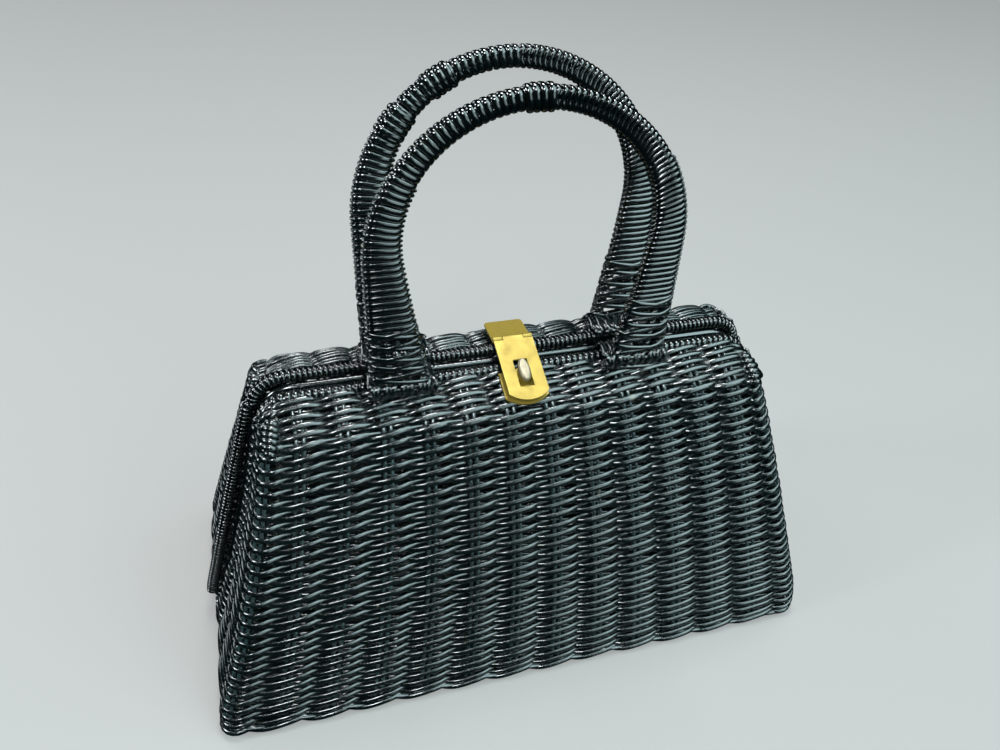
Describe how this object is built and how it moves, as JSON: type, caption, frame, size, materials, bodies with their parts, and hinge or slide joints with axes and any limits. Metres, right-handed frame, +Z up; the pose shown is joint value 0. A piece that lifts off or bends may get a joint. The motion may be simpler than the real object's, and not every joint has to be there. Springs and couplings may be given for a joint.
{
  "type": "basket box bag",
  "caption": "Woven box bag in black lacquered wicker that opens like a shell on its bottom edge, with hoop handles and a brass hasp over a turn button.",
  "frame": {"origin": "middle of the base on the floor plane, on the parting plane between the two halves", "axes": "+Z up, +X along the bag's width, -Y towards the front half that carries the turn button"},
  "size_m": [0.288, 0.136, 0.2561],
  "materials": {
    "lacquered_wicker": "black gloss lacquer over woven willow strands",
    "lacquered_cane": "black gloss lacquer over wound cane",
    "lacquered_rod": "black lacquer over bent rattan rod",
    "brass": "polished sheet brass, lightly worn",
    "worn_brass": "brass with its plating worn pale"
  },
  "bodies": {
    "front_half": {"front_basket": "lacquered_wicker", "front_rim_binding": "lacquered_cane", "front_left_edge_stake": "lacquered_wicker", "front_right_edge_stake": "lacquered_wicker", "front_hinge_rod": "lacquered_rod", "hinge_loops": "lacquered_cane", "front_handle_outer_rail": "lacquered_rod", "front_handle_inner_rail": "lacquered_rod", "front_handle_wrap": "lacquered_cane", "front_handle_lashings": "lacquered_cane", "lock_plate": "brass"},
    "back_half": {"back_basket": "lacquered_wicker", "back_rim_binding": "lacquered_cane", "back_hinge_rod": "lacquered_rod", "back_handle_outer_rail": "lacquered_rod", "back_handle_inner_rail": "lacquered_rod", "back_handle_wrap": "lacquered_cane", "back_handle_lashings": "lacquered_cane", "hasp_plate": "brass", "hasp_pin": "brass"},
    "hasp_leaf": {"hasp_leaf": "brass"},
    "turn_button": {"turn_button": "worn_brass"}
  },
  "joints": [
    {"name": "back_half_opening", "type": "hinge", "parent": "front_half", "child": "back_half", "pos_m": [0, 0.0029, 0.0038], "axis": [-1, 0, 0], "range_deg": [0, 90]},
    {"name": "hasp_lift", "type": "hinge", "parent": "back_half", "child": "hasp_leaf", "pos_m": [0, 0.00518, 0.14485], "axis": [-1, 0, 0], "range_deg": [0, 165]},
    {"name": "button_turn", "type": "hinge", "parent": "front_half", "child": "turn_button", "pos_m": [0, -0.01259, 0.14009], "axis": [0, -0.2588, 0.9659], "range_deg": [0, 90]}
  ]
}
